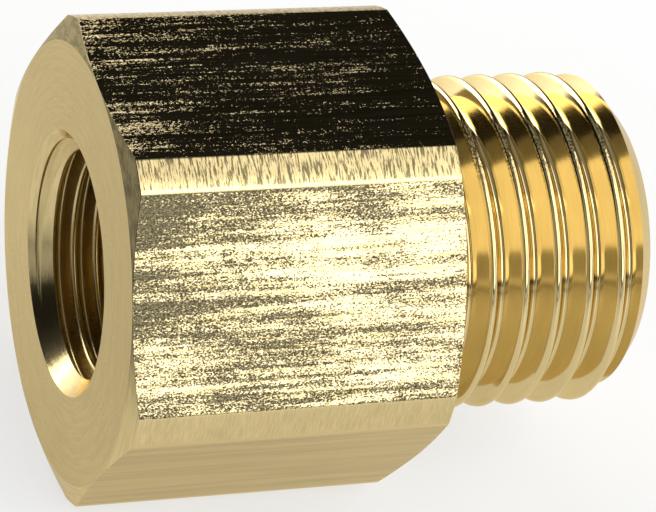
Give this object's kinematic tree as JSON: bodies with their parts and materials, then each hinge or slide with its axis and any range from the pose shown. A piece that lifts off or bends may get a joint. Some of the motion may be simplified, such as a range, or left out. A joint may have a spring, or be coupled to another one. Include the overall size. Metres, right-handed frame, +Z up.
{
  "type": "hex bushing",
  "caption": "Hexagonal brass adapter with a parallel outside thread at one end and a smaller inside thread at the other, joined by a straight passage.",
  "frame": {"origin": "on the axis, in the plane of the shoulder where the hexagon ends and the outside thread begins", "axes": "+X along the axis, out of the outside thread; +Z up, out of a flat of the hexagon; the part lies on the opposite flat"},
  "size_m": [0.022, 0.0188, 0.017],
  "materials": {
    "brass": "machined"
  },
  "bodies": {
    "root": {"hex_bushing": "brass"}
  },
  "joints": []
}
